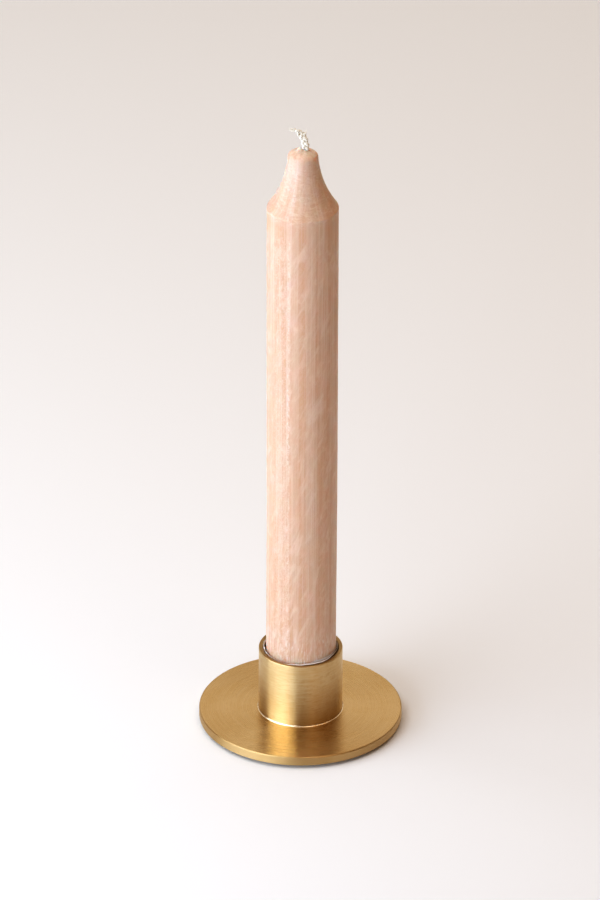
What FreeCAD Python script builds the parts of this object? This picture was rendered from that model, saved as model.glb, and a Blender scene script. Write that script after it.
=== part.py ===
"""A brass candle holder with its candle, as a parametric FreeCAD document.

A turned brass disc carries a short brass tube, which stands in a shallow ring groove and is brazed
round its foot. A felt pad is glued under the disc. A crown candle stands on the disc inside the tube,
its foot wound with clear film that takes up the play, and its wick runs from foot to tip.

Frame: millimetres, +Z up, origin at the centre of the felt pad's underside, -Y towards the front.
The candle, its film and its wick lift out together along +Z.
"""
import FreeCAD, Part
import Sketcher
import math
import os
import re

# alias, size in millimetres (one is an angle in degrees), what it is
SIZES = [
    ("base_diameter", 64.0, "brass base disc, across"),
    ("base_thickness", 3.0, "brass base disc, thick"),
    ("base_edge_radius", 0.35, "rounding of the disc's top and bottom edges"),
    ("pad_diameter", 58.0, "felt pad under the disc, across"),
    ("pad_thickness", 1.0, "felt pad under the disc, thick"),
    ("tube_diameter", 26.4, "candle tube, outside"),
    ("tube_wall", 1.2, "candle tube, wall"),
    ("tube_height", 21.7, "candle tube, above the disc's top face"),
    ("rim_outer_radius", 0.3, "rounding of the tube's rim, outside"),
    ("rim_inner_radius", 0.2, "rounding of the tube's rim, inside"),
    ("seat_depth", 0.5, "ring groove in the disc that the tube stands in, deep"),
    ("seat_play", 0.05, "gap between the tube and each wall of its groove"),
    ("braze_leg", 0.5, "brazing fillet round the tube's foot, up the tube and out along the disc"),
    ("candle_diameter", 22.0, "candle body, across"),
    ("candle_length", 195.6, "wax from the foot to the top of the crown"),
    ("candle_offset", 0.3, "how far the candle stands to the right of the tube's axis"),
    ("foot_chamfer", 0.6, "bevel round the candle's foot"),
    ("crown_height", 19.2, "tapered crown above the candle's shoulder"),
    ("crown_rim_drop", 0.7, "how far the crown's rounded edge lies below its top"),
    ("crown_tip_radius", 4.8, "crown's radius just under its rounded edge"),
    ("crown_curve_radius", 32.5, "radius of the crown's hollow flank"),
    ("crown_rounding", 2.0, "rounding of the crown's top edge"),
    ("shoulder_rounding", 0.5, "rounding where the body meets the crown"),
    ("wick_diameter", 1.5, "braided wick, across"),
    ("wick_play", 0.02, "gap between the wick and the wax"),
    ("wick_offset", 0.9, "how far the wick stands to the right of the candle's axis"),
    ("wick_rise", 3.9, "upright stretch of the wick above the wax"),
    ("wick_bend_radius", 2.9, "radius of the bend in the wick's free end"),
    ("wick_bend_angle", 72.0, "how far the wick's free end bends over, in degrees"),
    ("wick_tail", 2.6, "straight end of the wick past its bend"),
    ("film_thickness", 0.35, "clear film wound round the candle's foot, all its layers"),
    ("film_play", 0.02, "gap between the film and the wax"),
    ("film_lift", 1.5, "how far the film's lower edge is above the candle's foot"),
    ("film_proud", 0.3, "how far the film's upper edge stands above the tube's rim"),
]
FULL_TURN = 360.0
AXIS = "axis"  # stands for a corner's coordinate on the sketch's own axis
ROUGH_SIZE = 1.0  # what a sketch's dimension starts at, before its formula is bound
LEAST_CUT = 1.0  # mm3 that a pocket has to remove to count as cut
SAME = 1e-4  # two lengths this close are the same
SWEEP_TOLERANCE = 0.01  # a sweep's volume is within this share of its section times its length
LEFT = 1  # an outline's arc bulges to the left of its direction, and to the right at -LEFT
FIRST_BULGE = 0.1  # how far an arc bulges before its radius is bound, as a share of its chord

doc = FreeCAD.newDocument("CandleHolder")


def make_sheet():
    """The spreadsheet that drives every size."""
    sheet = doc.addObject("Spreadsheet::Sheet", "Dimensions")
    for row, (alias, size, meaning) in enumerate(SIZES, start=1):
        sheet.set(f"A{row}", meaning)
        sheet.set(f"B{row}", str(size))
        sheet.setAlias(f"B{row}", alias)
    doc.recompute()
    return sheet


def cell(formula):
    """A formula of aliases, written for an object outside the sheet."""
    return re.sub(r"[a-z]\w*", r"Dimensions.\g<0>", formula)


def new_body(label, height="0", across="0"):
    """An empty body, set down at a height above the table and to the right of the axis."""
    body = doc.addObject("PartDesign::Body", label)
    body.Label = label
    body.setExpression("Placement.Base.z", cell(height))
    body.setExpression("Placement.Base.x", cell(across))
    return body


def new_sketch(body, name, role, lift=None):
    """A sketch on one of the body's own origin planes, raised along the plane's normal."""
    sketch = body.newObject("Sketcher::SketchObject", name)
    plane = next(feature for feature in body.Origin.OriginFeatures if feature.Role == role)
    sketch.AttachmentSupport = [(plane, "")]
    sketch.MapMode = "FlatFace"
    if lift:
        sketch.setExpression("AttachmentOffset.Base.z", cell(lift))
    return sketch


def bind(sketch, constraint, formula):
    """Adds a dimension to the sketch and ties it to a formula."""
    number = sketch.addConstraint(constraint)
    sketch.setExpression(f"Constraints[{number}]", cell(formula))


def circle(sketch, radius, across=None):
    """A circle round the sketch's origin, or round a point to the right of it."""
    centre = FreeCAD.Vector(ROUGH_SIZE if across else 0, 0, 0)
    number = sketch.addGeometry(Part.Circle(centre, FreeCAD.Vector(0, 0, 1), ROUGH_SIZE), False)
    if across:
        sketch.addConstraint(Sketcher.Constraint("PointOnObject", number, 3, -1))
        bind(sketch, Sketcher.Constraint("DistanceX", -1, 1, number, 3, ROUGH_SIZE), across)
    else:
        sketch.addConstraint(Sketcher.Constraint("Coincident", number, 3, -1, 1))
    bind(sketch, Sketcher.Constraint("Radius", number, ROUGH_SIZE), radius)


def place_corner(sketch, across, up):
    """A construction point at two formulas, or on an axis where one says AXIS."""
    point = sketch.addGeometry(Part.Point(FreeCAD.Vector(ROUGH_SIZE, ROUGH_SIZE, 0)), True)
    for kind, formula, axis in (("DistanceX", across, -2), ("DistanceY", up, -1)):
        if formula == AXIS:
            sketch.addConstraint(Sketcher.Constraint("PointOnObject", point, 1, axis))
        else:
            bind(sketch, Sketcher.Constraint(kind, -1, 1, point, 1, ROUGH_SIZE), formula)
    return point


def outline(sketch, corners, arcs=None):
    """A closed outline through corners, each (across, up). arcs says which sides are arcs: the side
    that starts at corner number n is one with arcs[n] = (radius, LEFT or -LEFT)."""
    points = [place_corner(sketch, across, up) for across, up in corners]
    doc.recompute()
    sides = []
    for n, point in enumerate(points):
        after = points[(n + 1) % len(points)]
        start, end = sketch.getPoint(point, 1), sketch.getPoint(after, 1)
        if arcs and n in arcs:
            bulge = arcs[n][1] * FIRST_BULGE
            chord = end - start
            middle = (start + end) / 2 + FreeCAD.Vector(-chord.y, chord.x, 0) * bulge
            side = sketch.addGeometry(Part.Arc(start, middle, end), False)
            forward = sketch.getPoint(side, 1).distanceToPoint(start) < chord.Length / 2
            ends = (1, 2) if forward else (2, 1)
        else:
            side = sketch.addGeometry(Part.LineSegment(start, end), False)
            ends = (1, 2)
        sketch.addConstraint(Sketcher.Constraint("Coincident", side, ends[0], point, 1))
        sketch.addConstraint(Sketcher.Constraint("Coincident", side, ends[1], after, 1))
        sides.append(side)
    for n, (radius, _) in (arcs or {}).items():
        bind(sketch, Sketcher.Constraint("Radius", sides[n], ROUGH_SIZE), radius)


def revolve(body, name, corners, arcs=None):
    """A turned solid: the outline in the XZ plane, spun a full turn about Z."""
    sketch = new_sketch(body, name + "_profile", "XZ_Plane")
    outline(sketch, corners, arcs)
    turned = body.newObject("PartDesign::Revolution", name)
    turned.Profile = sketch
    turned.ReferenceAxis = (sketch, ["V_Axis"])
    turned.Angle = FULL_TURN
    doc.recompute()
    return turned


def pad(body, name, sketch, length):
    """The sketch, pushed up by a length."""
    raised = body.newObject("PartDesign::Pad", name)
    raised.Profile = sketch
    raised.setExpression("Length", cell(length))
    doc.recompute()
    return raised


def ring_edges(feature, keep):
    """Names of the feature's full circular edges whose (radius, height) passes a test."""
    names = []
    for number, edge in enumerate(feature.Shape.Edges, start=1):
        curve = edge.Curve
        if isinstance(curve, Part.Circle) and keep(curve.Radius, curve.Center.z):
            names.append(f"Edge{number}")
    return names


def round_edges(body, name, feature, edges, radius):
    """A fillet on some of the feature's edges."""
    rounded = body.newObject("PartDesign::Fillet", name)
    rounded.Base = (feature, edges)
    rounded.setExpression("Radius", cell(radius))
    doc.recompute()
    return rounded


def same(length, other):
    return math.isclose(length, other, abs_tol=SAME)


def require_cut(before, after):
    """Stops if a pocket pointed the wrong way and cut nothing."""
    if after.Shape.Volume > before.Shape.Volume - LEAST_CUT:
        raise RuntimeError(f"{after.Name} cut nothing")


def make_felt_pad():
    body = new_body("felt_pad")
    sketch = new_sketch(body, "pad_circle", "XY_Plane")
    circle(sketch, "pad_diameter / 2")
    pad(body, "pad_disc", sketch, "pad_thickness")
    return body


def make_base_disc(sheet):
    """The disc, its ring groove for the tube, and its two softened edges."""
    body = new_body("base_disc", height="pad_thickness")
    blank_circle = new_sketch(body, "blank_circle", "XY_Plane")
    circle(blank_circle, "base_diameter / 2")
    blank = pad(body, "blank", blank_circle, "base_thickness")

    seat_rings = new_sketch(body, "seat_rings", "XY_Plane", lift="base_thickness")
    circle(seat_rings, "tube_diameter / 2 + seat_play")
    circle(seat_rings, "tube_diameter / 2 - tube_wall - seat_play")
    seat = body.newObject("PartDesign::Pocket", "seat")
    seat.Profile = seat_rings
    seat.setExpression("Length", cell("seat_depth"))
    doc.recompute()
    require_cut(blank, seat)

    rim = sheet.get("base_diameter") / 2
    edges = ring_edges(seat, lambda radius, height: same(radius, rim))
    round_edges(body, "softened_edges", seat, edges, "base_edge_radius")
    return body


def make_candle_tube(sheet):
    """The open brass tube, its rim softened outside and inside."""
    body = new_body("candle_tube", height="pad_thickness + base_thickness - seat_depth")
    inner, outer = "tube_diameter / 2 - tube_wall", "tube_diameter / 2"
    top = "tube_height + seat_depth"
    tube = revolve(body, "tube", [(inner, AXIS), (outer, AXIS), (outer, top), (inner, top)])

    rim = sheet.get("tube_height") + sheet.get("seat_depth")
    outside = sheet.get("tube_diameter") / 2
    inside = outside - sheet.get("tube_wall")
    edges = ring_edges(tube, lambda radius, height: same(height, rim) and same(radius, outside))
    outer_rim = round_edges(body, "outer_rim", tube, edges, "rim_outer_radius")
    edges = ring_edges(outer_rim, lambda radius, height: same(height, rim) and same(radius, inside))
    round_edges(body, "inner_rim", outer_rim, edges, "rim_inner_radius")
    return body


def make_braze_fillet():
    """The bead of brazing alloy in the corner between the tube and the disc."""
    body = new_body("braze_fillet", height="pad_thickness + base_thickness")
    inner, outer = "tube_diameter / 2", "tube_diameter / 2 + braze_leg"
    revolve(body, "fillet_ring", [(inner, AXIS), (outer, AXIS), (inner, "braze_leg")])
    return body


def make_candle(sheet):
    """The wax: a straight body with a bevelled foot and a hollow-flanked crown, bored for the wick."""
    body = new_body("candle", height="pad_thickness + base_thickness", across="candle_offset")
    wall = "candle_diameter / 2"
    shoulder = "candle_length - crown_height"
    corners = [
        (AXIS, AXIS),
        ("candle_diameter / 2 - foot_chamfer", AXIS),
        (wall, "foot_chamfer"),
        (wall, shoulder),
        ("crown_tip_radius", "candle_length - crown_rim_drop"),
        (AXIS, "candle_length"),
    ]
    wax = revolve(body, "wax", corners, arcs={3: ("crown_curve_radius", LEFT)})

    tip = sheet.get("crown_tip_radius")
    edges = ring_edges(wax, lambda radius, height: same(radius, tip))
    crown = round_edges(body, "crown_edge", wax, edges, "crown_rounding")
    outside = sheet.get("candle_diameter") / 2
    top = sheet.get("candle_length") - sheet.get("crown_height")
    edges = ring_edges(crown, lambda radius, height: same(radius, outside) and same(height, top))
    shoulder_edge = round_edges(body, "shoulder_edge", crown, edges, "shoulder_rounding")

    bore_circle = new_sketch(body, "wick_bore_circle", "XY_Plane")
    circle(bore_circle, "wick_diameter / 2 + wick_play", across="wick_offset")
    bore = body.newObject("PartDesign::Pocket", "wick_bore")
    bore.Profile = bore_circle
    bore.Type = "ThroughAll"
    bore.Reversed = True
    doc.recompute()
    require_cut(shoulder_edge, bore)
    return body


def make_wick(sheet):
    """The wick: straight from the candle's foot to above the crown, then one bend to the left."""
    across = "candle_offset + wick_offset"
    body = new_body("wick", height="pad_thickness + base_thickness", across=across)
    section = new_sketch(body, "wick_section", "XY_Plane")
    circle(section, "wick_diameter / 2")

    upright = sheet.get("candle_length") + sheet.get("wick_rise")
    bend = sheet.get("wick_bend_radius")
    turn = math.radians(sheet.get("wick_bend_angle"))
    foot = FreeCAD.Vector(0, 0, 0)
    centre = FreeCAD.Vector(-bend, upright, 0)
    start, middle, end = (
        centre + FreeCAD.Vector(math.cos(angle), math.sin(angle), 0) * bend
        for angle in (0, turn / 2, turn))
    tip = end + FreeCAD.Vector(-math.sin(turn), math.cos(turn), 0) * sheet.get("wick_tail")

    path = new_sketch(body, "wick_path", "XZ_Plane")
    run = path.addGeometry(Part.LineSegment(foot, start), False)
    arc = path.addGeometry(Part.Arc(start, middle, end), False)
    tail = path.addGeometry(Part.LineSegment(end, tip), False)
    path.addConstraint(Sketcher.Constraint("Coincident", run, 1, -1, 1))
    path.addConstraint(Sketcher.Constraint("Vertical", run))
    path.addConstraint(Sketcher.Constraint("Tangent", run, 2, arc, 1))
    path.addConstraint(Sketcher.Constraint("Tangent", arc, 2, tail, 1))
    bind(path, Sketcher.Constraint("DistanceY", run, 1, run, 2, upright), "candle_length + wick_rise")
    bind(path, Sketcher.Constraint("Radius", arc, bend), "wick_bend_radius")
    bind(path, Sketcher.Constraint("Angle", arc, turn), "wick_bend_angle")
    bind(path, Sketcher.Constraint("Distance", tail, ROUGH_SIZE), "wick_tail")

    wick = body.newObject("PartDesign::AdditivePipe", "wick_braid")
    wick.Profile = section
    wick.Spine = (path, ["Edge1", "Edge2", "Edge3"])
    doc.recompute()
    length = upright + bend * turn + sheet.get("wick_tail")
    swept = math.pi * (sheet.get("wick_diameter") / 2) ** 2 * length
    if not math.isclose(wick.Shape.Volume, swept, rel_tol=SWEEP_TOLERANCE):
        raise RuntimeError("the wick isn't as long as its path")
    return body


def make_film_wrap():
    """The sleeve of clear film between the candle's foot and the tube."""
    height = "pad_thickness + base_thickness + film_lift"
    body = new_body("film_wrap", height=height, across="candle_offset")
    inner = "candle_diameter / 2 + film_play"
    outer = inner + " + film_thickness"
    top = "tube_height + film_proud - film_lift"
    revolve(body, "film_sleeve", [(inner, AXIS), (outer, AXIS), (outer, top), (inner, top)])
    return body


def check(bodies):
    """Stops if any object failed, or if a sub-part isn't one sound solid."""
    for item in doc.Objects:
        if "Invalid" in item.State or "Error" in item.State:
            raise RuntimeError(f"{item.Name} failed: {item.State}")
    for body in bodies:
        shape = body.Shape
        if shape.isNull() or not shape.isValid() or len(shape.Solids) != 1:
            raise RuntimeError(f"{body.Label} isn't one sound solid")
        box = shape.optimalBoundingBox(False, False)
        print(f"{body.Label:14s} {shape.Volume:10.1f} mm3"
              f"  x {box.XMin:7.2f} {box.XMax:7.2f}  z {box.ZMin:7.2f} {box.ZMax:7.2f}")


def main():
    sheet = make_sheet()
    bodies = [
        make_felt_pad(),
        make_base_disc(sheet),
        make_candle_tube(sheet),
        make_braze_fillet(),
        make_candle(sheet),
        make_wick(sheet),
        make_film_wrap(),
    ]
    doc.recompute()
    check(bodies)
    os.makedirs("parts", exist_ok=True)
    for body in bodies:
        body.Shape.exportStep(f"parts/{body.Label}.step")


main()
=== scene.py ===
"""A brushed brass candle holder with its crown candle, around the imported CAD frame.

The brass disc and tube are the CAD nodes with new materials. The candle, wick, film, brazing bead and
felt pad are replaced by detailed meshes made here. Lengths are millimetres in this script's own code,
and MM turns them into the frame's metres where they are handed to Blender.
"""
import math
import random

import bpy
import numpy as np
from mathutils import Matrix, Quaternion, Vector, noise


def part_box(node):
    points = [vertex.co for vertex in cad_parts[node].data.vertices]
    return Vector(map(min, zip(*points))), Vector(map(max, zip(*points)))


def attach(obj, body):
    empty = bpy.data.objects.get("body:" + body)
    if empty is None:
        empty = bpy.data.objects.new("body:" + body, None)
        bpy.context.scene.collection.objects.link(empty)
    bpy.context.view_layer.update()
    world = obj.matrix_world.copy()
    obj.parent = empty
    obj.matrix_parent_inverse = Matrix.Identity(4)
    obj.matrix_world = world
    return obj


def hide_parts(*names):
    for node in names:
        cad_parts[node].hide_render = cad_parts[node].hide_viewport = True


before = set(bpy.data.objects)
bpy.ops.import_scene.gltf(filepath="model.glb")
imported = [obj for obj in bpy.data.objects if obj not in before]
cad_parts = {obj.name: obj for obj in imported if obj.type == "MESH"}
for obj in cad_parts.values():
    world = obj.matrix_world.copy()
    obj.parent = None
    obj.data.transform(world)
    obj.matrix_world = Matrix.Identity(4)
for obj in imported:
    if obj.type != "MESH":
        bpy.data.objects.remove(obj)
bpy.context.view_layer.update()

MM = 0.001


def span(node):
    """Lowest and highest corner of a CAD node, in millimetres."""
    low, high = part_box(node)
    return np.array(low) / MM, np.array(high) / MM


PAD_LOW, PAD_HIGH = span("felt_pad")
DISC_HIGH = span("base_disc")[1]
TUBE_HIGH = span("candle_tube")[1]
BEAD_LOW, BEAD_HIGH = span("braze_fillet")
WAX_LOW, WAX_HIGH = span("candle")
WICK_LOW, WICK_HIGH = span("wick")
FILM_LOW, FILM_HIGH = span("film_wrap")

DISC_RADIUS = DISC_HIGH[0]
TUBE_RADIUS = TUBE_HIGH[0]
TUBE_RIM = TUBE_HIGH[2]
TUBE_WALL = 1.2
TUBE_BORE = TUBE_RADIUS - TUBE_WALL
CANDLE_X = (WAX_LOW[0] + WAX_HIGH[0]) / 2
CANDLE_RADIUS = (WAX_HIGH[0] - WAX_LOW[0]) / 2
CANDLE_FOOT = WAX_LOW[2]
CANDLE_TOP = WAX_HIGH[2]
CROWN_HEIGHT = 19.2
CROWN_TIP = 4.72
CROWN_DOME = 2.3
CROWN_CURVE = 32.5
SHOULDER = CANDLE_TOP - CROWN_HEIGHT
DOME_START = CANDLE_TOP - CROWN_DOME
WICK_RADIUS = (WICK_HIGH[1] - WICK_LOW[1]) / 2
WICK_X = WICK_HIGH[0] - WICK_RADIUS


# ---------------------------------------------------------------- camera, floor and light

CAMERA_ELEVATION = math.radians(28.66)
CAMERA_DISTANCE = 2200.0
CAMERA_TARGET = Vector((-0.48, 0.0, 96.0))
CAMERA_LENS = 283.9
CAMERA_ROLL = math.radians(0.246)
CAMERA_REACH_M = (0.05, 50.0)

LIGHT_TARGET = Vector((0.0, 0.0, 90.0))
# Azimuth and elevation in degrees, distance, width and height, how bright the face is, and its colour.
# Azimuth 0 is in front and 90 is to the right.
SOFTBOXES = {
    "key": (-52.0, 10.0, 640.0, (1040.0, 220.0), 3.3, (0.84, 1.0, 1.16)),
    "key_core": (-51.0, 10.0, 630.0, (460.0, 220.0), 1.35, (0.82, 1.0, 1.40)),
    "upper_left": (-80.0, 54.0, 800.0, (900.0, 420.0), 1.9, (0.95, 1.0, 1.05)),
    "back": (180.0, 32.0, 900.0, (1700.0, 700.0), 0.51, (0.97, 0.98, 0.95)),
    "upper_right": (80.0, 62.0, 900.0, (1040.0, 380.0), 0.75, (1.0, 0.80, 0.62)),
    "overhead": (0.0, 89.9, 1000.0, (640.0, 640.0), 1.3, (1.0, 1.0, 1.0)),
}
FILL_COLOUR = (1.0, 0.54, 0.20, 1.0)
FILL_STRENGTH = 0.145
BACKDROP_COLOUR = (0.62, 0.615, 0.61, 1.0)

FLOOR_RADIUS = 750.0
FLOOR_CORNERS = 128
FLOOR_COLOUR = (0.905, 0.93, 0.96, 1.0)


def make_camera():
    """A long lens, from in front and above."""
    camera = bpy.data.objects.new("camera", bpy.data.cameras.new("camera"))
    bpy.context.scene.collection.objects.link(camera)
    back = Vector((0.0, -math.cos(CAMERA_ELEVATION), math.sin(CAMERA_ELEVATION)))
    camera.location = (CAMERA_TARGET + back * CAMERA_DISTANCE) * MM
    camera.rotation_mode = "QUATERNION"
    level = back.to_track_quat("Z", "Y")
    camera.rotation_quaternion = level @ Quaternion((0.0, 0.0, 1.0), CAMERA_ROLL)
    camera.data.lens = CAMERA_LENS
    camera.data.clip_start, camera.data.clip_end = CAMERA_REACH_M
    bpy.context.scene.camera = camera


def make_softbox(name, azimuth, elevation, distance, size, radiance, colour):
    """A rectangular light that faces the middle of the object and that the camera doesn't see."""
    width, height = size
    data = bpy.data.lights.new(name, "AREA")
    data.shape = "RECTANGLE"
    data.size = width * MM
    data.size_y = height * MM
    data.energy = radiance * math.pi * data.size * data.size_y
    data.color = colour
    light = bpy.data.objects.new(name, data)
    bpy.context.scene.collection.objects.link(light)
    turn, rise = math.radians(azimuth), math.radians(elevation)
    out = Vector((math.sin(turn) * math.cos(rise), -math.cos(turn) * math.cos(rise), math.sin(rise)))
    light.location = (LIGHT_TARGET + out * distance) * MM
    light.rotation_mode = "QUATERNION"
    light.rotation_quaternion = out.to_track_quat("Z", "Y")
    light.visible_camera = False


def make_world():
    """A weak warm fill from everywhere, behind a pale backdrop that only the camera sees."""
    world = bpy.data.worlds.new("studio")
    bpy.context.scene.world = world
    world.use_nodes = True
    nodes, links = world.node_tree.nodes, world.node_tree.links
    fill = nodes["Background"]
    fill.inputs["Color"].default_value = FILL_COLOUR
    fill.inputs["Strength"].default_value = FILL_STRENGTH
    backdrop = nodes.new("ShaderNodeBackground")
    backdrop.inputs["Color"].default_value = BACKDROP_COLOUR
    seen = nodes.new("ShaderNodeMixShader")
    links.new(nodes.new("ShaderNodeLightPath").outputs["Is Camera Ray"], seen.inputs[0])
    links.new(fill.outputs[0], seen.inputs[1])
    links.new(backdrop.outputs[0], seen.inputs[2])
    links.new(seen.outputs[0], nodes["World Output"].inputs["Surface"])


def make_lights():
    """A low, wide key at the front left, brighter in its middle, softboxes high above it, behind, at the
    upper right and overhead, and the fill."""
    for name, settings in SOFTBOXES.items():
        make_softbox(name, *settings)
    make_world()


def make_floor():
    """A plain pale round tabletop, wider than the view."""
    tree = Shader("floor_paper")
    tree.surface(base=FLOOR_COLOUR, roughness=0.9, specular=0.1)
    angles = [2 * math.pi * n / FLOOR_CORNERS for n in range(FLOOR_CORNERS)]
    points = [(FLOOR_RADIUS * math.cos(a), FLOOR_RADIUS * math.sin(a), 0.0) for a in angles]
    floor = make_object("floor", points, [tuple(range(FLOOR_CORNERS))], tree.material, smooth=False)


# ---------------------------------------------------------------- shader helper

class Shader:
    """A material's node tree, built one short call at a time."""

    def __init__(self, name):
        self.material = bpy.data.materials.new(name)
        self.material.use_nodes = True
        self.nodes = self.material.node_tree.nodes
        self.links = self.material.node_tree.links
        self.nodes.clear()
        self.output = self.nodes.new("ShaderNodeOutputMaterial")

    def feed(self, socket, value):
        """Puts a number, a colour or another node's output into a socket."""
        if isinstance(value, bpy.types.NodeSocket):
            self.links.new(value, socket)
        else:
            socket.default_value = value

    def add(self, kind, inputs=(), **settings):
        """A node of that kind. settings are its own properties, and inputs its sockets by name."""
        node = self.nodes.new(kind)
        for name, value in settings.items():
            setattr(node, name, value)
        for name, value in dict(inputs).items():
            self.feed(node.inputs[name], value)
        return node

    def math(self, operation, *values):
        """An operation on numbers or on other nodes' outputs."""
        node = self.add("ShaderNodeMath", operation=operation)
        for socket, value in zip(node.inputs, values):
            self.feed(socket, value)
        return node.outputs[0]

    def times(self, first, second):
        return self.math("MULTIPLY", first, second)

    def plus(self, first, second):
        return self.math("ADD", first, second)

    def vector(self, operation, first, second=None):
        """An operation on vectors. "LENGTH" gives a number, and the others give a vector."""
        node = self.add("ShaderNodeVectorMath", operation=operation)
        self.feed(node.inputs[0], first)
        if second is not None:
            self.feed(node.inputs["Scale"] if operation == "SCALE" else node.inputs[1], second)
        return node.outputs["Value"] if operation == "LENGTH" else node.outputs["Vector"]

    def combine(self, x, y, z):
        return self.add("ShaderNodeCombineXYZ", {"X": x, "Y": y, "Z": z}).outputs[0]

    def place(self):
        """Where a point is on the object, in millimetres."""
        return self.vector("SCALE", self.add("ShaderNodeTexCoord").outputs["Object"], 1 / MM)

    def around(self, centre_x=0.0):
        """A point's direction from an upright axis, as a unit vector's x and y, then its distance from
        that axis and its height in millimetres."""
        moved = self.vector("SUBTRACT", self.place(), (centre_x, 0.0, 0.0))
        split = self.add("ShaderNodeSeparateXYZ", {"Vector": moved})
        flat = self.combine(split.outputs["X"], split.outputs["Y"], 0.0)
        aim = self.add("ShaderNodeSeparateXYZ", {"Vector": self.vector("NORMALIZE", flat)})
        return aim.outputs["X"], aim.outputs["Y"], self.vector("LENGTH", flat), split.outputs["Z"]

    def noise(self, vector, scale=1.0, detail=2.0, roughness=0.5, distortion=0.0):
        """Fractal noise from about 0 to 1."""
        settings = {"Vector": vector, "Scale": scale, "Detail": detail, "Roughness": roughness,
                    "Distortion": distortion}
        return self.add("ShaderNodeTexNoise", settings).outputs["Fac"]

    def band(self, value, low, high, start=0.0, end=1.0):
        """value from low to high becomes start to end, smoothly, and stays there outside."""
        inputs = {"Value": value, "From Min": low, "From Max": high, "To Min": start, "To Max": end}
        return self.add("ShaderNodeMapRange", inputs, interpolation_type="SMOOTHSTEP").outputs["Result"]

    def blend(self, share, first, second):
        """Two colours mixed: the first at a share of 0, and the second at 1."""
        node = self.add("ShaderNodeMix", data_type="RGBA", blend_type="MIX")
        self.feed(node.inputs["Factor"], share)
        self.feed(node.inputs[6], first)
        self.feed(node.inputs[7], second)
        return node.outputs[2]

    def bump(self, height, depth, normal=None):
        """A normal bent by a height from 0 to 1 that stands for a depth in millimetres."""
        inputs = {"Height": height, "Distance": depth * MM, "Strength": 1.0}
        if normal:
            inputs["Normal"] = normal
        return self.add("ShaderNodeBump", inputs).outputs["Normal"]

    def principled(self, base, roughness, specular=0.5, **sockets):
        """A Principled surface. Other sockets are named with underscores for their spaces."""
        inputs = {"Base Color": base, "Roughness": roughness, "Specular IOR Level": specular}
        inputs.update({name.replace("_", " "): value for name, value in sockets.items()})
        return self.add("ShaderNodeBsdfPrincipled", inputs)

    def surface(self, base, roughness, specular=0.5, **sockets):
        """A Principled surface as the whole material."""
        node = self.principled(base, roughness, specular, **sockets)
        self.links.new(node.outputs[0], self.output.inputs["Surface"])

    def layered(self, share, first, second):
        """Two shader nodes mixed: the first at a share of 0, and the second at 1."""
        node = self.add("ShaderNodeMixShader")
        for socket, value in zip(node.inputs, (share, first.outputs[0], second.outputs[0])):
            self.feed(socket, value)
        return node


# ---------------------------------------------------------------- brass

# Tones from dark to pale.
DISC_TONES = ((0.64, 0.445, 0.205, 1.0), (0.69, 0.497, 0.252, 1.0), (0.725, 0.540, 0.300, 1.0))
TUBE_TONES = ((0.74, 0.540, 0.265, 1.0), (0.81, 0.640, 0.365, 1.0), (0.86, 0.710, 0.450, 1.0))
# Painted shade for the tube's flat rim top: a darker brown that makes that face look shaded.
RIM_PAINTED_SHADE = (0.38, 0.232, 0.084, 1.0)
BRAZE_TONES = ((0.92, 0.74, 0.50, 1.0), (0.98, 0.90, 0.74, 1.0))

# How strongly the brushing stretches a reflection, and the quarter turn that does it across the lines.
BRUSHED = {"Anisotropic": 0.9, "Anisotropic_Rotation": 0.25}
LACQUER = {"Coat_Roughness": 0.46, "Coat_IOR": 2.3}


def ring_noise(tree, ring, arc, pitch, detail, roughness):
    """Noise drawn out round the axis, for a ring of (across, along, line). Its streaks get shorter with
    arc, and pitch is how many of them there are to a millimetre of line."""
    across, along, line = ring
    place = tree.combine(tree.times(across, arc), tree.times(along, arc), tree.times(line, pitch))
    return tree.noise(place, 1.0, detail, roughness)


def brass_material(name, tones, turned_face, roughness, arc, relief, lacquer):
    """Lathe-brushed brass. turned_face is True for the disc, whose lines are rings that differ by radius,
    and False for the tube, whose lines differ by height. arc is how short the finest lines are, relief
    how deep they are, and lacquer how much of a clear coat there is."""
    dark, middle, pale = tones
    tree = Shader(name)
    across, along, radius, height = tree.around()
    ring = (across, along, radius if turned_face else height)
    fine = ring_noise(tree, ring, arc, pitch=9.0, detail=5.0, roughness=0.65)
    broad = ring_noise(tree, ring, 1.3, pitch=1.4, detail=3.0, roughness=0.55)
    cloud = tree.noise(tree.place(), scale=0.11, detail=3.0, roughness=0.55)

    tone = tree.blend(tree.band(cloud, 0.30, 0.72), dark, middle)
    tone = tree.blend(tree.band(broad, 0.35, 0.75, 0.0, 0.45), tone, pale)
    tone = tree.blend(tree.band(fine, 0.30, 0.50, 0.20, 0.0), tone, dark)
    rough = tree.plus(tree.band(fine, 0.25, 0.75, roughness - 0.05, roughness + 0.05),
                      tree.band(cloud, 0.3, 0.7, -0.02, 0.02))
    if turned_face:
        rounding = tree.band(radius, DISC_RADIUS - 0.45, DISC_RADIUS - 0.25, 0.0, 0.16)
        rough = tree.plus(rough, rounding)
    else:
        mottle = ring_noise(tree, ring, 4.5, pitch=2.0, detail=4.0, roughness=0.70)
        # Painted shade: the flat top of the rim is darkened as if it lay in shade.
        rim_painted_shade = tree.band(height, TUBE_RIM - 0.05, TUBE_RIM - 0.01, 0.0, 0.90)
        tone = tree.blend(tree.band(mottle, 0.46, 0.66, 0.0, 0.90), tone, dark)
        tone = tree.blend(rim_painted_shade, tone, RIM_PAINTED_SHADE)
        rough = tree.plus(rough, tree.band(mottle, 0.34, 0.66, -0.05, 0.05))
    normal = tree.bump(fine, relief, normal=tree.bump(broad, relief * 3))
    tangent = tree.add("ShaderNodeTangent", direction_type="RADIAL", axis="Z").outputs[0]
    tree.surface(tone, rough, Metallic=1.0, Tangent=tangent, Normal=normal, Coat_Weight=lacquer,
                 **BRUSHED, **LACQUER)
    return tree.material


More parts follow.
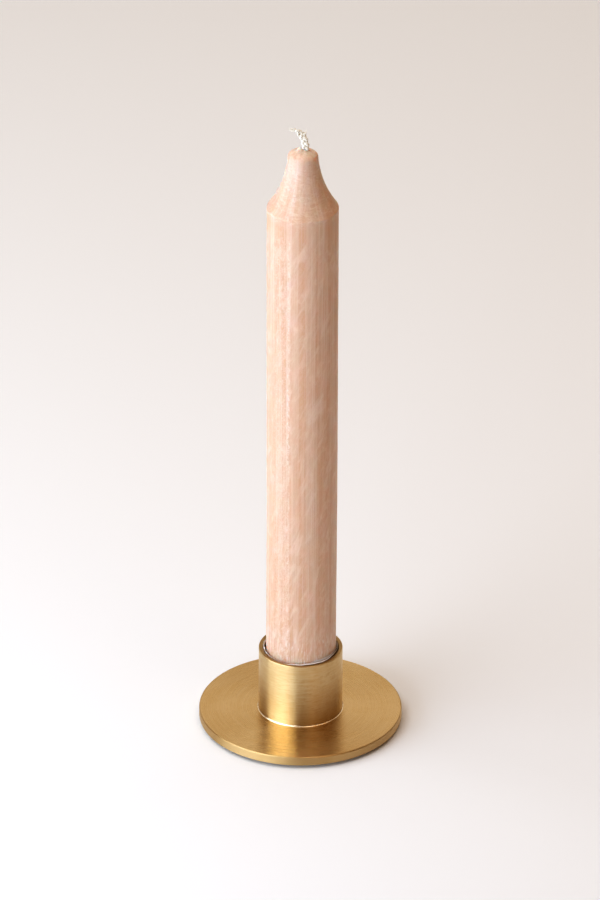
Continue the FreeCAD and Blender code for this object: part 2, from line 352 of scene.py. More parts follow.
def braze_material():
    """Brazing alloy: paler and smoother than the brass, with a slight ripple."""
    tree = Shader("braze_alloy")
    ripple = tree.noise(tree.place(), 1.4, 3.0, 0.6)
    tone = tree.blend(tree.band(ripple, 0.35, 0.65), *BRAZE_TONES)
    tree.surface(tone, tree.band(ripple, 0.3, 0.7, 0.16, 0.30), Metallic=1.0, Normal=tree.bump(ripple, 0.02))
    return tree.material


# ---------------------------------------------------------------- wax

SEAM_AZIMUTH = math.radians(-23.5)
WAX_TONES = ((0.712, 0.458, 0.303, 1.0), (0.750, 0.542, 0.404, 1.0))
DARK_LINE = (0.61, 0.375, 0.25, 1.0)
PALE_LINE = (0.82, 0.67, 0.58, 1.0)
CRYSTAL_PATCH = (0.83, 0.650, 0.530, 1.0)
CRYSTAL_FIBRE = (0.83, 0.68, 0.585, 1.0)
DARK_GRAIN = (0.66, 0.44, 0.32, 1.0)
# Pale crackle. Beside one side of each seam it is also a painted sheen.
CRACKLE_AND_SHEEN = (0.85, 0.715, 0.625, 1.0)
SEAM = (0.94, 0.86, 0.80, 1.0)
SCUFF = (0.86, 0.77, 0.72, 1.0)
BLOOM = (0.80, 0.66, 0.56, 1.0)
PALE_VEIN = (0.88, 0.76, 0.67, 1.0)
DARK_VEIN = (0.66, 0.44, 0.31, 1.0)
DRIP = (0.92, 0.84, 0.78, 1.0)


class WaxShader(Shader):
    """The wax's node tree. Its patterns are placed by where a point is on the candle."""

    def __init__(self, name):
        super().__init__(name)
        self.across, self.along, _, self.height = self.around(CANDLE_X)
        # body is weaker in the clearer band under the shoulder, and crown starts just below the shoulder.
        from_band = self.math("ABSOLUTE", self.math("SUBTRACT", self.height, SHOULDER - 2.5))
        self.body = self.band(from_band, 1.5, 6.5, 0.35, 1.0)
        self.crown = self.band(self.height, SHOULDER - 3.0, SHOULDER)

    def drawn(self, width, length, detail, slope=0.0, distortion=0.0):
        """Noise with features about that wide round the candle and that long up it. With a slope they
        lean to the right as they go up."""
        lean = self.times(self.height, -slope / width)
        place = self.combine(self.math("MULTIPLY_ADD", self.across, CANDLE_RADIUS / width, lean),
                             self.times(self.along, CANDLE_RADIUS / width),
                             self.times(self.height, 1 / length))
        return self.noise(place, 1.0, detail, 0.6, distortion)

    def crystals(self):
        """How much of the feathery patches and of the single fibres there is."""
        patches = self.drawn(2.4, 8.0, 4.0, slope=0.30, distortion=0.8)
        patches = self.band(patches, 0.44, 0.74, 0.0, 0.70)
        fibres = self.drawn(0.8, 4.0, 3.0, slope=0.35, distortion=0.6)
        fibres = self.band(fibres, 0.50, 0.80, 0.0, 0.35)
        return self.times(patches, self.body), self.times(fibres, self.body)

    def seams(self):
        """How much there is of the two wandering, broken mould seams, which are opposite each other, and
        of the paler crackled wax beside them. On one side of each seam that pale crackle is strengthened,
        and there it is partly a painted sheen."""
        seam_x = self.times(self.across, CANDLE_RADIUS * math.cos(SEAM_AZIMUTH))
        beside = self.math("MULTIPLY_ADD", self.along, CANDLE_RADIUS * math.sin(SEAM_AZIMUTH), seam_x)
        wander = self.noise(self.combine(0.0, 0.0, self.height), scale=0.30, detail=4.0)
        wander = self.math("MULTIPLY_ADD", wander, 2.6, -1.30)
        from_seam = self.math("ABSOLUTE", self.plus(beside, wander))
        broken = self.band(self.drawn(1.2, 1.1, 4.0, distortion=1.2), 0.42, 0.56)
        broken = self.times(broken, self.body)
        stretches = self.band(self.drawn(4.0, 9.0, 2.0), 0.42, 0.60, 0.35, 1.0)
        seam = self.times(self.band(from_seam, 0.08, 0.50, 0.42, 0.0), broken)

        # Painted sheen: on one side of each seam the pale crackle is made stronger, standing in for the
        # gloss of a light on the wax there.
        painted_sheen_side = self.times(self.band(beside, -7.5, -3.5), self.band(beside, -0.5, 1.4, 1.0, 0.0))
        share = self.times(self.math("MULTIPLY_ADD", painted_sheen_side, 0.32, 0.10), self.body)
        crackle_and_sheen = self.band(self.drawn(0.65, 1.4, 3.0, slope=0.2, distortion=1.8), 0.46, 0.62)
        return self.times(seam, stretches), self.times(crackle_and_sheen, share)

    def scuffs(self):
        """How much the tube has scuffed the candle just above its rim."""
        low = self.band(self.height, TUBE_RIM + 5.0, TUBE_RIM + 13.0, 0.65, 0.0)
        scratches = self.band(self.drawn(0.55, 3.2, 4.0, distortion=0.8), 0.50, 0.66)
        return self.times(scratches, low)

    def crown_layers(self):
        """The crown's whitish bloom and its pale and dark veins, each a share and a tone."""
        bloom = self.band(self.height, SHOULDER - 1.5, CANDLE_TOP - 1.0, 0.22, 0.48)
        place = self.vector("MULTIPLY", self.place(), (0.5, 0.5, 1.1))
        veins = self.noise(place, detail=4.0, roughness=0.62, distortion=1.2)
        pale_veins = self.band(veins, 0.50, 0.66, 0.0, 0.40)
        dark_veins = self.band(veins, 0.34, 0.47, 0.40, 0.0)
        layers = ((bloom, BLOOM), (pale_veins, PALE_VEIN), (dark_veins, DARK_VEIN))
        return [(self.times(share, self.crown), tone) for share, tone in layers]


def wax_material():
    """Cast stearin: pale pink, streaked along its length, with paler feathery crystals, mould seams with
    crackled wax beside them, paler on one side of each seam as a painted sheen, a clearer band under the
    shoulder and scuffs at the foot."""
    tree = WaxShader("wax")
    streaks = tree.band(tree.drawn(2.0, 110.0, 4.0), 0.40, 0.62)
    lines = tree.drawn(0.42, 60.0, 2.0)
    grain = tree.drawn(0.30, 0.75, 3.0, distortion=0.8)
    patches, fibres = tree.crystals()
    seam, crackle_and_sheen = tree.seams()
    layers = [
        (tree.band(lines, 0.28, 0.50, 0.45, 0.0), DARK_LINE),
        (tree.band(lines, 0.52, 0.72, 0.0, 0.60), PALE_LINE),
        (patches, CRYSTAL_PATCH),
        (fibres, CRYSTAL_FIBRE),
        (tree.band(grain, 0.30, 0.48, 0.26, 0.0), DARK_GRAIN),
        (crackle_and_sheen, CRACKLE_AND_SHEEN),
        (seam, SEAM),
        (tree.scuffs(), SCUFF),
        *tree.crown_layers(),
        (tree.band(tree.height, CANDLE_TOP - 0.05, CANDLE_TOP + 0.75, 0.0, 0.8), DRIP),
    ]
    tone = tree.blend(streaks, *WAX_TONES)
    for share, layer_tone in layers:
        tone = tree.blend(share, tone, layer_tone)
    normal = None
    for relief, depth in ((grain, 0.05), (lines, 0.02), (crackle_and_sheen, 0.06), (seam, 0.05)):
        normal = tree.bump(relief, depth, normal=normal)
    tree.surface(tone, tree.band(grain, 0.3, 0.7, 0.30, 0.44), Normal=normal, Subsurface_Weight=0.8,
                 Subsurface_Radius=(1.0, 0.45, 0.30), Subsurface_Scale=2.4 * MM)
    return tree.material


# ---------------------------------------------------------------- cotton, film and felt

COTTON_TONES = ((0.86, 0.81, 0.67, 1.0), (0.98, 0.965, 0.91, 1.0))
# The first tone is warm painted light for the film below the rim; the second is the milky white of the upper
# edge, partly a painted highlight.
GAP_LIGHT_AND_EDGE_TONES = ((0.86, 0.66, 0.50, 1.0), (0.99, 0.98, 0.97, 1.0))
FELT_TONES = ((0.010, 0.009, 0.008, 1.0), (0.045, 0.041, 0.037, 1.0))
FELT_CLOUD = (0.06, 0.054, 0.048, 1.0)
WHITE = (1.0, 1.0, 1.0, 1.0)


def cotton_material():
    """Bleached cotton, a little yellower between its fibres."""
    tree = Shader("cotton_wick")
    fibres = tree.noise(tree.place(), 9.0, 3.0, 0.6)
    tone = tree.blend(tree.band(fibres, 0.3, 0.7), *COTTON_TONES)
    tree.surface(tone, 0.9, specular=0.15, Normal=tree.bump(fibres, 0.02), Sheen_Weight=0.5,
                 Sheen_Roughness=0.5)
    return tree.material


def film_material():
    """Clear film: see-through and glossy, milky where it is creased and along its rolled upper edge, where
    the milky white is partly a painted highlight. Below the rim a warm milk is painted light that stands in
    for light bounced into the gap between candle and bore.
    """
    tree = Shader("clear_film")
    height = tree.add("ShaderNodeSeparateXYZ", {"Vector": tree.place()}).outputs["Z"]
    creases = tree.noise(tree.place(), 1.3, 4.0, 0.65)
    creased = tree.bump(creases, 0.03)
    # The milky white along the upper edge is partly a painted highlight of the edge's glint.
    edge = tree.band(height, TUBE_RIM - 0.15, TUBE_RIM + 0.20, 0.0, 0.85)
    # Painted light: a warm milk below the rim makes the gap between candle and bore read as lit instead of
    # dark.
    painted_gap_light = tree.band(height, TUBE_RIM - 2.2, TUBE_RIM - 0.8, 0.0, 0.42)
    haze_and_gap_light = tree.plus(tree.band(creases, 0.42, 0.70, 0.03, 0.14), painted_gap_light)
    milk_and_painted_light = tree.math("MINIMUM", tree.plus(haze_and_gap_light, edge), 0.9)
    milky = tree.principled(tree.blend(edge, *GAP_LIGHT_AND_EDGE_TONES), 0.16, Normal=creased, Coat_Weight=0.5,
                            Coat_Roughness=0.05)
    facing = tree.add("ShaderNodeLayerWeight", {"Blend": 0.5}).outputs["Facing"]
    gloss_share = tree.math("MULTIPLY_ADD", tree.math("POWER", facing, 4.0), 0.7, 0.05)
    clear = tree.add("ShaderNodeBsdfTransparent", {"Color": WHITE})
    gloss = tree.add("ShaderNodeBsdfGlossy", {"Roughness": 0.10, "Color": WHITE, "Normal": creased})
    skin = tree.layered(gloss_share, clear, gloss)
    tree.links.new(tree.layered(milk_and_painted_light, skin, milky).outputs[0], tree.output.inputs["Surface"])
    return tree.material


def felt_material():
    """Dark pressed wool felt."""
    tree = Shader("felt")
    hairs = tree.noise(tree.place(), 5.0, 5.0, 0.7, 0.8)
    cloud = tree.noise(tree.place(), 0.35, 3.0, 0.6)
    tone = tree.blend(tree.band(hairs, 0.35, 0.70), *FELT_TONES)
    tone = tree.blend(tree.band(cloud, 0.35, 0.7, 0.0, 0.35), tone, FELT_CLOUD)
    tree.surface(tone, 0.95, specular=0.15, Normal=tree.bump(hairs, 0.12), Sheen_Weight=0.4,
                 Sheen_Roughness=0.6)
    return tree.material


# ---------------------------------------------------------------- mesh helpers

def make_object(name, points, faces, material, smooth=True):
    """A mesh object from points in millimetres."""
    mesh = bpy.data.meshes.new(name)
    mesh.from_pydata([tuple(point) for point in np.asarray(points) * MM], [], faces)
    mesh.polygons.foreach_set("use_smooth", [smooth] * len(mesh.polygons))
    mesh.validate()
    mesh.update()
    piece = bpy.data.objects.new(name, mesh)
    bpy.context.scene.collection.objects.link(piece)
    mesh.materials.append(material)
    return piece


def join_faces(parts):
    """Several (points, faces) as one."""
    points = []
    faces = []
    for part_points, part_faces in parts:
        first = len(points)
        points.extend(part_points)
        faces.extend(tuple(first + corner for corner in face) for face in part_faces)
    return points, faces


def tube_faces(rings, around, first=0):
    """Quads between rings of points that follow each other, each ring closed."""
    faces = []
    for ring in range(rings - 1):
        for n in range(around):
            after = (n + 1) % around
            low, high = first + ring * around, first + (ring + 1) * around
            faces.append((low + n, low + after, high + after, high + n))
    return faces


def closed_faces(rings, around):
    """Faces of rings of points with a single point before the first ring and one after the last."""
    last = 1 + rings * around
    top = last - around
    faces = [(0, 1 + (n + 1) % around, 1 + n) for n in range(around)]
    faces += tube_faces(rings, around, first=1)
    faces += [(last, top + n, top + (n + 1) % around) for n in range(around)]
    return faces


def lathe(outline, around, shape=None):
    """Points and faces of an outline of (radius, height) turned about Z, whose first and last points
    lie on the axis. shape takes all the points as one array and returns them moved."""
    angles = np.arange(around) * 2 * math.pi / around
    points = [(0.0, 0.0, outline[0][1])]
    for radius, height in outline[1:-1]:
        points.extend(np.column_stack((radius * np.cos(angles), radius * np.sin(angles),
                                       np.full(around, height))))
    points.append((0.0, 0.0, outline[-1][1]))
    points = np.array(points)
    if shape:
        points = shape(points)
    return points, closed_faces(len(outline) - 2, around)


def line(start, end, step):
    """Points from start up to, and not including, end."""
    start, end = np.array(start, float), np.array(end, float)
    count = max(1, round(float(np.linalg.norm(end - start)) / step))
    return [start + (end - start) * n / count for n in range(count)]


def hollow_arc(start, end, radius, count):
    """Points on the arc of that radius from start up to, and not including, end. It bulges to the left
    of the way from start to end."""
    start, end = np.array(start, float), np.array(end, float)
    chord = end - start
    middle = (start + end) / 2
    left = np.array((-chord[1], chord[0])) / np.linalg.norm(chord)
    centre = middle - left * math.sqrt(radius ** 2 - (np.linalg.norm(chord) / 2) ** 2)
    first = math.atan2(*(start - centre)[::-1])
    last = math.atan2(*(end - centre)[::-1])
    turn = (last - first + math.pi) % (2 * math.pi) - math.pi
    angles = [first + turn * n / count for n in range(count)]
    return [centre + radius * np.array((math.cos(angle), math.sin(angle))) for angle in angles]


def rounded(outline, reach):
    """The outline with its corners softened over a reach in points. The two points at each of its ends
    are left alone."""
    outline = np.array(outline)
    soft = outline.copy()
    for n in range(2, len(outline) - 2):
        width = min(reach, n, len(outline) - 1 - n)
        soft[n] = outline[n - width:n + width + 1].mean(axis=0)
    return soft


def wobble(points, scale, seed):
    """Smooth noise from about -1 to 1 for each point."""
    shift = Vector((seed * 17.3, seed * 5.9, seed * 11.1))
    return np.array([noise.noise(Vector(point) * scale + shift) for point in points])


# ---------------------------------------------------------------- candle

FOOT_BEVEL = 0.6
CANDLE_COLUMNS = 192
CANDLE_LEAN = -0.28
FOOT_SHIFT = -0.32
BEND_LENGTH = 70.0
BROAD_SWELL = 0.05
FINE_SWELL = 0.02
TOP_ROUGHNESS = 0.10
DRAWN_UP = 0.42
DRAWN_UP_REACH = 0.45
LUMP_HEIGHT = 1.20
LUMP_PLACE = (-1.05, -0.35)
LUMP_HALF_WIDTHS = (0.95, 0.70)


def lean_at(height):
    """How far to the right the candle is pushed there: it leans a little, and its foot bends back."""
    risen = height - CANDLE_FOOT
    bend = np.clip(1 - risen / BEND_LENGTH, 0, 1) ** 1.3
    return CANDLE_LEAN * risen / (CANDLE_TOP - CANDLE_FOOT) + FOOT_SHIFT * bend


def dome_outline(steps):
    """The crown's rounded top, from its flank up to, and not including, its middle."""
    turns = [math.pi / 2 * n / steps for n in range(steps)]
    return [(CROWN_TIP * math.cos(turn) ** 0.94, DOME_START + CROWN_DOME * math.sin(turn)) for turn in turns]


def candle_outline():
    """The candle's outline from the middle of its foot to the middle of its crown's top."""
    below_bevel = (CANDLE_RADIUS - FOOT_BEVEL, CANDLE_FOOT)
    above_bevel = (CANDLE_RADIUS, CANDLE_FOOT + FOOT_BEVEL)
    below_shoulder = (CANDLE_RADIUS, SHOULDER - 2.0)
    outline = line((0.0, CANDLE_FOOT), below_bevel, 1.5)
    outline += line(below_bevel, above_bevel, 0.2)
    outline += line(above_bevel, below_shoulder, 1.2)
    outline += line(below_shoulder, (CANDLE_RADIUS, SHOULDER), 0.2)
    outline += hollow_arc((CANDLE_RADIUS, SHOULDER), (CROWN_TIP, DOME_START), CROWN_CURVE, 90)
    outline += dome_outline(40)
    return list(rounded(outline, 1)) + [(0.0, CANDLE_TOP)]


def swell_candle(points):
    """Pushes the candle's points in and out a little, less towards its axis."""
    flat = points[:, :2]
    distance = np.linalg.norm(flat, axis=1, keepdims=True)
    outward = np.divide(flat, distance, out=np.zeros_like(flat), where=distance > 0)
    swell = BROAD_SWELL * wobble(points * (1, 1, 0.5), 0.08, 1)
    swell += FINE_SWELL * wobble(points * (1, 1, 0.15), 0.5, 2)
    inside = np.clip(distance[:, 0] / CANDLE_RADIUS, 0, 1)
    flat += outward * (swell * inside)[:, None]


def top_relief(points):
    """How far each point of the crown's top is raised: wax is drawn up round the wick, and there is one
    small lump beside it."""
    flat = points[:, :2]
    from_wick = np.linalg.norm(flat - (WICK_X - CANDLE_X, 0.0), axis=1)
    drawn_up = DRAWN_UP * np.exp(-np.maximum(from_wick - 0.6, 0) / DRAWN_UP_REACH)
    from_lump = (flat - LUMP_PLACE) / LUMP_HALF_WIDTHS
    lump = LUMP_HEIGHT * np.exp(-(from_lump ** 2).sum(axis=1))
    return np.maximum(drawn_up, lump) + TOP_ROUGHNESS * wobble(points, 0.9, 3)


def candle_shape(points):
    """The candle's surface made uneven, and the whole of it put in its place."""
    swell_candle(points)
    fade = np.clip((points[:, 2] - DOME_START) / CROWN_DOME, 0, 1)
    points[:, 2] += top_relief(points) * fade
    points[:, 0] += CANDLE_X + lean_at(points[:, 2])
    return points


def make_candle():
    """The crown candle, one closed mesh."""
    points, faces = lathe(candle_outline(), CANDLE_COLUMNS, candle_shape)
    candle = make_object("crown_candle", points, faces, wax_material())
    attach(candle, "candle")
    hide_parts("candle")


# ---------------------------------------------------------------- wick

def smooth_route(route, step):
    """Points about a step apart on a smooth curve through a route (Catmull-Rom)."""
    route = np.array(route, float)
    padded = np.vstack((2 * route[0] - route[1], route, 2 * route[-1] - route[-2]))
    points = []
    for n in range(1, len(padded) - 2):
        before, start, end, after = padded[n - 1:n + 3]
        count = max(1, round(float(np.linalg.norm(end - start)) / step))
        for share in np.arange(count) / count:
            points.append(0.5 * (2 * start + (end - before) * share
                                 + (2 * before - 5 * start + 4 * end - after) * share ** 2
                                 + (3 * start - before - 3 * end + after) * share ** 3))
    return np.array(points + [route[-1]])


def frames_along(path):
    """Two directions across the path at each of its points, which turn as little as they can."""
    ahead = np.gradient(path, axis=0)
    ahead /= np.linalg.norm(ahead, axis=1, keepdims=True)
    side = np.array((1.0, 0.0, 0.0))
    sides = []
    for direction in ahead:
        side = side - direction * side.dot(direction)
        side /= np.linalg.norm(side)
        sides.append(side)
    sides = np.array(sides)
    return sides, np.cross(ahead, sides)


def tube_along(path, radii, around):
    """Points and faces of a closed tube with a radius at each point of its path."""
    sides, others = frames_along(path)
    angles = np.arange(around) * 2 * math.pi / around
    points = [path[0]]
    for place, side, other, radius in zip(path, sides, others, radii):
        points.extend(place + radius * (math.cos(a) * side + math.sin(a) * other) for a in angles)
    points.append(path[-1])
    return points, closed_faces(len(path), around)


def travel_along(path):
    """How far along a path each of its points is."""
    steps = np.linalg.norm(np.diff(path, axis=0), axis=1)
    return np.concatenate(([0.0], np.cumsum(steps)))


PLY_COUNT = 3
PLAIT_PITCH = 5.2
PLAIT_HALF_WIDTH = 0.55
PLAIT_HALF_DEPTH = 0.24
YARNS_ROUND_PLY = 9
YARN_RADIUS = 0.14
YARN_RING = 0.28
YARN_PITCH = 3.1
YARN_CORNERS = 7
YARN_SPLAY = (0.50, 0.30, 0.28)
FRAY_LENGTH = 2.6
BEND_TRAVEL = 5.0
TAPER_LENGTH = 3.8
LOOSENING = 0.30
TAPER = 0.62
YARN_TAPER = 0.75
MOST_CUT_POINTS = 9
HAIR_COUNT = 46
HAIR_RADII = (0.022, 0.010)
HAIR_LENGTHS = (0.3, 0.9)
WAX_STEP = 0.6
FREE_STEP = 0.16

# The free end's middle line, from where it leaves the wax: up, then over to the left.
FREE_END = ((0.0, 0.0, 0.0), (-0.15, 0.0, 1.3), (-0.40, 0.0, 2.7), (-0.75, -0.05, 4.1),
            (-1.45, -0.12, 5.3), (-2.4, -0.20, 6.05), (-3.5, -0.28, 6.55), (-4.4, -0.33, 7.0),
            (-5.0, -0.36, 7.45))
# The short ply's upright stub, from its last point in the plait.
STUB = ((0.0, 0.0, 0.0), (0.10, 0.0, 0.5), (0.04, -0.02, 1.0), (-0.10, 0.03, 1.5))


def wick_path():
    """The wick's middle line from its foot to its tip, and how far along it leaves the wax."""
    heights = np.linspace(CANDLE_FOOT, CANDLE_TOP - 3.0, 20)
    inside = [(WICK_X + lean_at(height), 0.0, height) for height in heights]
    leaves_wax = np.array((WICK_X + CANDLE_LEAN, 0.0, CANDLE_TOP))
    above = leaves_wax + FREE_END
    free = smooth_route(above, FREE_STEP)
    path = np.vstack((smooth_route(inside + [tuple(leaves_wax)], WAX_STEP)[:-1], free))
    return path, travel_along(path)[-len(free)]


def ply_line(ply, path, leaves_wax):
    """One ply's middle line in the plait, and the plait's relative width at each of its points. The plait
    loosens where it leaves the wax, and narrows towards its tip."""
    travel = travel_along(path)
    ends = (travel[-1], travel[-1] - 0.7, leaves_wax + BEND_TRAVEL)
    keep = travel <= ends[ply]
    sides, others = (directions[keep] for directions in frames_along(path))
    phase = 2 * math.pi * travel[keep] / PLAIT_PITCH + 2 * math.pi * ply / PLY_COUNT
    above = travel[keep] - leaves_wax
    loosened = LOOSENING * np.clip(above + 0.3, 0, 1)
    width = 1.0 + loosened - TAPER * np.clip((above - BEND_TRAVEL) / TAPER_LENGTH, 0, 1)
    middle = (path[keep] + sides * (PLAIT_HALF_WIDTH * width * np.sin(phase))[:, None]
              + others * (PLAIT_HALF_DEPTH * width * np.sin(2 * phase))[:, None])
    if ply == PLY_COUNT - 1:
        stub = smooth_route(middle[-1] + STUB, FREE_STEP)[1:]
        middle = np.vstack((middle, stub))
        width = np.concatenate((width, np.full(len(stub), width[-1])))
    return middle, width


def ply_yarns(middle, width, draw):
    """One ply's yarns, twisted round its middle line, splayed and thinner where they fray, and cut to
    uneven lengths."""
    sides, others = frames_along(middle)
    travel = travel_along(middle)
    fray = np.clip((travel - travel[-1] + FRAY_LENGTH) / FRAY_LENGTH, 0, 1)
    radii = YARN_RADIUS * width * (1 - YARN_TAPER * fray ** 2)
    ring = YARN_RING * width
    yarns = []
    for yarn in range(YARNS_ROUND_PLY):
        angle = 2 * math.pi * (travel / YARN_PITCH + yarn / YARNS_ROUND_PLY)
        splay = np.array([draw.uniform(-1, 1) for _ in range(3)]) * YARN_SPLAY
        route = (middle + sides * (ring * np.cos(angle))[:, None]
                 + others * (ring * np.sin(angle))[:, None] + splay * (fray ** 2)[:, None])
        kept = len(route) - draw.randint(0, MOST_CUT_POINTS)
        yarns.append(tube_along(route[:kept], radii[:kept], YARN_CORNERS))
    return yarns


def stray_hairs(path, leaves_wax, draw):
    """Single cotton hairs that stand off the free end of the wick, more of them towards its tip."""
    travel = travel_along(path)
    free = travel[-1] - leaves_wax
    hairs = []
    for _ in range(HAIR_COUNT):
        at = leaves_wax + free * (1 - draw.random() ** 1.8)
        start = path[int(np.searchsorted(travel, min(at, travel[-1])))]
        ahead = np.array([draw.uniform(-1, 1), draw.uniform(-1, 1), draw.uniform(-0.6, 1)])
        ahead /= np.linalg.norm(ahead)
        start = start + ahead * 0.12
        length = draw.uniform(*HAIR_LENGTHS)
        curl = np.array([draw.uniform(-0.25, 0.25) for _ in range(3)])
        middle = start + ahead * length / 2 + curl * 0.4
        route = smooth_route([start, middle, start + ahead * length + curl], 0.1)
        hairs.append(tube_along(route, np.linspace(*HAIR_RADII, len(route)), 4))
    return hairs


def make_wick():
    """Three plies of twisted yarns, plaited. Two run to the frayed tip, and one ends at the bend."""
    draw = random.Random(11)
    path, leaves_wax = wick_path()
    parts = []
    for ply in range(PLY_COUNT):
        middle, width = ply_line(ply, path, leaves_wax)
        parts += ply_yarns(middle, width, draw)
    parts += stray_hairs(path, leaves_wax, draw)
    points, faces = join_faces(parts)
    wick = make_object("plaited_wick", points, faces, cotton_material())
    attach(wick, "candle")
    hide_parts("wick")


# ---------------------------------------------------------------- film

FILM_TURNS = 1.36
FILM_START = math.radians(250.0)
FILM_COLUMNS = 520
FILM_ROWS = 22
LIP_ROWS = 6
LIP_REACH = 0.05
FLAP_REACH = 0.57
FILM_HALF_THICKNESS = 0.022
EDGE_RADIUS = 0.06
EDGE_SPREAD = 0.7
# The film's regions round the tube: where each has its middle and how wide it is, in degrees. The right
# is at 0 and the front at -90.
LOOSE = (172.0, 34.0)
FLAP = (-77.0, 31.0)
RIGHT = (-34.0, 38.0)
FRONT_LEFT = (214.0, 32.0)


def hump(angle, centre, width):
    """1 at the centre and 0 well away from it. angle is in radians, centre and width are in degrees."""
    away = (math.degrees(angle) - centre + 180.0) % 360.0 - 180.0
    return math.exp(-((away / width) ** 2))


def wax_face(angle, height):
    """How far the candle's side is from the tube's axis there."""
    centre = CANDLE_X + lean_at(height)
    return centre * math.cos(angle) + math.sqrt(CANDLE_RADIUS ** 2 - (centre * math.sin(angle)) ** 2)


class FilmPlace:
    """Where the film is at a turn from its start, and how much of each of its regions is there."""

    def __init__(self, turn):
        self.turn = turn
        self.angle = FILM_START + turn
        self.circle = Vector((math.cos(self.angle), math.sin(self.angle), 0.0))
        self.outer_layer = min(1.0, max(0.0, (turn - 2 * math.pi + 0.5) / 0.5))
        self.loose = hump(self.angle, *LOOSE)
        self.flap = self.outer_layer * min(1.0, 1.7 * hump(self.angle, *FLAP))
        self.right = min(1.0, 1.7 * hump(self.angle, *RIGHT))
        self.front_left = hump(self.angle, *FRONT_LEFT)

    def ripple(self, fineness, shift):
        """Smooth noise from about -1 to 1 round the tube."""
        return noise.noise(self.circle * fineness + Vector(shift))

    def top(self):
        """The upper edge's height: raised where the film is loose, folded out, and at the right."""
        raised = (0.86 - 0.24 * self.outer_layer) * self.right * (1.0 - self.flap)
        crumpled = self.loose * (0.8 + 0.9 * self.ripple(14.0, (0.0, 0.0, 0.0)))
        uneven = 0.15 * self.ripple(3.0, (self.turn, 0.0, 4.0))
        return TUBE_RIM - 0.40 + uneven + (0.52 * self.flap + raised + 0.15 * self.front_left + crumpled)

    def low(self):
        """The lower edge's height."""
        return FILM_LOW[2] + 0.3 + 0.25 * self.ripple(3.0, (0.0, self.turn, 0.0))

    def share(self, rise):
        """How far the film is from the candle to the tube's bore, from 0 to 1. rise is 0 at its lower
        edge and 1 at the top of the bore."""
        fold = self.ripple(5.0, (0.0, 0.0, rise * 1.2 + self.turn))
        pleat = self.ripple(17.0, (0.0, 0.0, rise * 0.8))
        share = 0.17 + (0.40 - 0.08 * self.right * rise) * self.outer_layer + 0.10 * fold
        share += 0.30 * self.loose + 0.55 * self.loose * pleat + 0.38 * self.front_left * rise
        return min(0.86, max(0.14, share))


def film_column(turn):
    """The film's middle line from its lower to its upper edge at a turn from its start, as (radius,
    height) points: up between the candle and the bore, then out in a short lip."""
    place = FilmPlace(turn)
    low, top = place.low(), place.top()
    points = []
    for row in range(FILM_ROWS):
        rise = row / (FILM_ROWS - 1)
        height = low + (top - low) * rise
        inner = wax_face(place.angle, height)
        points.append((inner + place.share(rise) * (TUBE_BORE - inner), height))
    lip_start = points[-1][0]
    for row in range(1, LIP_ROWS + 1):
        share = row / LIP_ROWS
        out = (LIP_REACH + FLAP_REACH * place.flap) * share
        up = (0.16 - 0.10 * place.flap) * math.sin(math.pi / 2 * share)
        points.append((lip_start + out, top + up))
    return np.array(points)


def film_section(turn):
    """The closed outline of the film's section at a turn from its start: up its outer face, round its
    rolled edge and down its inner face."""
    middle = film_column(turn)
    ahead = np.gradient(middle, axis=0)
    ahead /= np.linalg.norm(ahead, axis=1, keepdims=True)
    side = np.column_stack((ahead[:, 1], -ahead[:, 0]))
    half = np.full(len(middle), FILM_HALF_THICKNESS)
    half[-1] = EDGE_RADIUS * EDGE_SPREAD
    tip = middle[-1] + ahead[-1] * EDGE_RADIUS * EDGE_SPREAD
    bulb = []
    for angle in np.radians((75.0, 40.0, 0.0, -40.0, -75.0)):
        bulb.append(tip + EDGE_RADIUS * (math.cos(angle) * ahead[-1] + math.sin(angle) * side[-1]))
    outer = middle + side * half[:, None]
    inner = middle - side * half[:, None]
    return np.vstack((outer, bulb, inner[::-1]))


def make_film():
    """Clear film wound a turn and a third round the candle's foot."""
    points = []
    for column in range(FILM_COLUMNS):
        turn = FILM_TURNS * 2 * math.pi * column / (FILM_COLUMNS - 1)
        angle = FILM_START + turn
        section = film_section(turn)
        points.extend((radius * math.cos(angle), radius * math.sin(angle), height)
                      for radius, height in section)
    ring = len(section)
    faces = tube_faces(FILM_COLUMNS, ring)
    faces.append(tuple(range(ring)))
    faces.append(tuple(reversed(range(len(points) - ring, len(points)))))
    film = make_object("film_strip", points, faces, film_material())
    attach(film, "candle")
    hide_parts("film_wrap")


# ---------------------------------------------------------------- brazing and felt

BEAD_COLUMNS = 320
BEAD_ROWS = 9
BEAD_INSET = 0.03
BEAD_SINK = 0.02


def bead_section(place):
    """The bead's closed section in one direction, as (radius, height) points: up its hollow face, then
    down just inside the tube and out just under the disc's top."""
    leg = BEAD_HIGH[2] - BEAD_LOW[2]
    up = leg * (0.66 + 0.12 * noise.noise(place * 6.0) + 0.06 * noise.noise(place * 21.0))
    out = leg * (0.74 + 0.12 * noise.noise(place * 5.0 + Vector((3, 1, 4))))
    low = BEAD_LOW[2]
    section = []
    for row in range(BEAD_ROWS):
        turn = math.pi / 2 * row / (BEAD_ROWS - 1)
        radius = TUBE_RADIUS + out * (1 - math.sin(turn)) ** 0.9
        section.append((radius, low + up * (1 - math.cos(turn)) ** 0.9))
    section.append((TUBE_RADIUS - BEAD_INSET, low + up))
    section.append((TUBE_RADIUS - BEAD_INSET, low - BEAD_SINK))
    section.append((TUBE_RADIUS + out, low - BEAD_SINK))
    return section


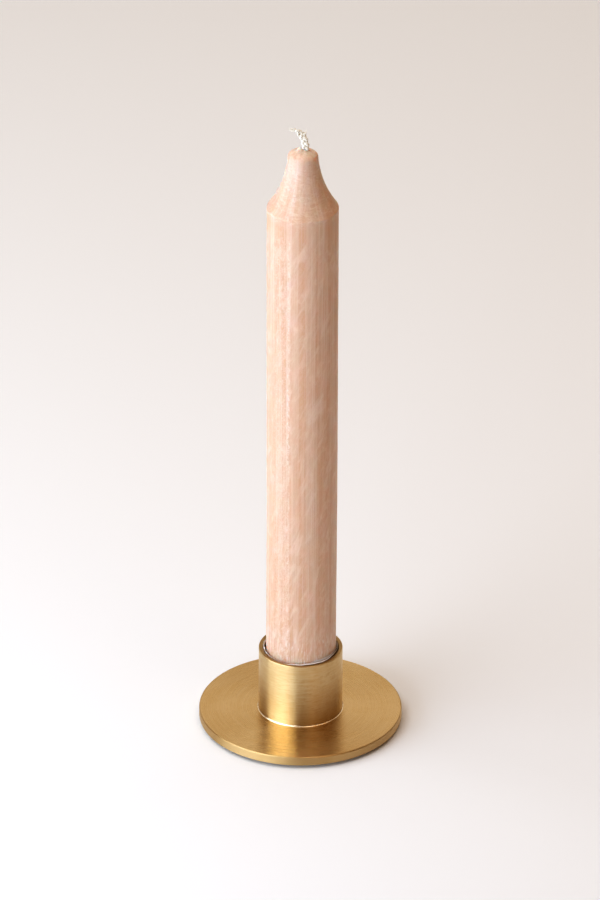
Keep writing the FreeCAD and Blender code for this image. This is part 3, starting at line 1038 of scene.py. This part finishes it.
def make_bead():
    """The brazing bead: a hollow fillet whose two legs wander a little round the tube."""
    points = []
    for column in range(BEAD_COLUMNS):
        angle = 2 * math.pi * column / BEAD_COLUMNS
        place = Vector((math.cos(angle), math.sin(angle), 0.0))
        section = bead_section(place)
        points.extend((radius * place.x, radius * place.y, height) for radius, height in section)
    ring = len(section)
    last = (BEAD_COLUMNS - 1) * ring
    faces = tube_faces(BEAD_COLUMNS, ring)
    faces += [(last + n, last + (n + 1) % ring, (n + 1) % ring, n) for n in range(ring)]
    bead = make_object("braze_bead", points, faces, braze_material())
    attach(bead, "holder")
    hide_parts("braze_fillet")


FELT_COLUMNS = 240
FELT_RADIUS = PAD_HIGH[0] - 0.2


def felt_shape(points):
    """The felt's edge made ragged, and its underside's nap uneven."""
    distance = np.linalg.norm(points[:, :2], axis=1)
    ragged = 0.16 * wobble(points, 0.9, 5) + 0.06 * wobble(points, 3.5, 6)
    share = np.clip(distance / FELT_RADIUS, 0, 1) ** 8
    points[:, :2] *= (1 + ragged * share / FELT_RADIUS)[:, None]
    nap = 0.04 + 0.04 * wobble(points, 1.7, 7)
    underside = points[:, 2] < (PAD_LOW[2] + PAD_HIGH[2]) / 2
    points[:, 2] += np.where(underside, nap, 0)
    return points


def make_felt():
    """The felt pad: a pressed disc with a soft, slightly ragged edge."""
    radius = FELT_RADIUS
    low, high = PAD_LOW[2], PAD_HIGH[2]
    outline = line((0.0, low), (radius, low), 0.8) + line((radius, low), (radius, high), 0.12)
    outline += line((radius, high), (0.0, high), 0.8)
    outline = list(rounded(outline, 2)) + [(0.0, high)]
    points, faces = lathe(outline, FELT_COLUMNS, felt_shape)
    felt = make_object("felt_disc", points, faces, felt_material())
    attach(felt, "holder")
    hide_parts("felt_pad")


# ---------------------------------------------------------------- the whole scene

def repaint(node, material):
    """A CAD node shown as it is, with a new material."""
    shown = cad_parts[node]
    shown.data.materials.clear()
    shown.data.materials.append(material)


make_camera()
make_lights()
make_floor()
repaint("base_disc", brass_material("brass_disc", DISC_TONES, turned_face=True, roughness=0.28, arc=1.8,
                                    relief=0.0009, lacquer=0.04))
repaint("candle_tube", brass_material("brass_tube", TUBE_TONES, turned_face=False, roughness=0.39, arc=7.0,
                                      relief=0.0085, lacquer=0.2))
make_candle()
make_wick()
make_film()
make_bead()
make_felt()
bpy.context.scene.view_settings.view_transform = "Standard"
bpy.context.scene.view_settings.look = "High Contrast"
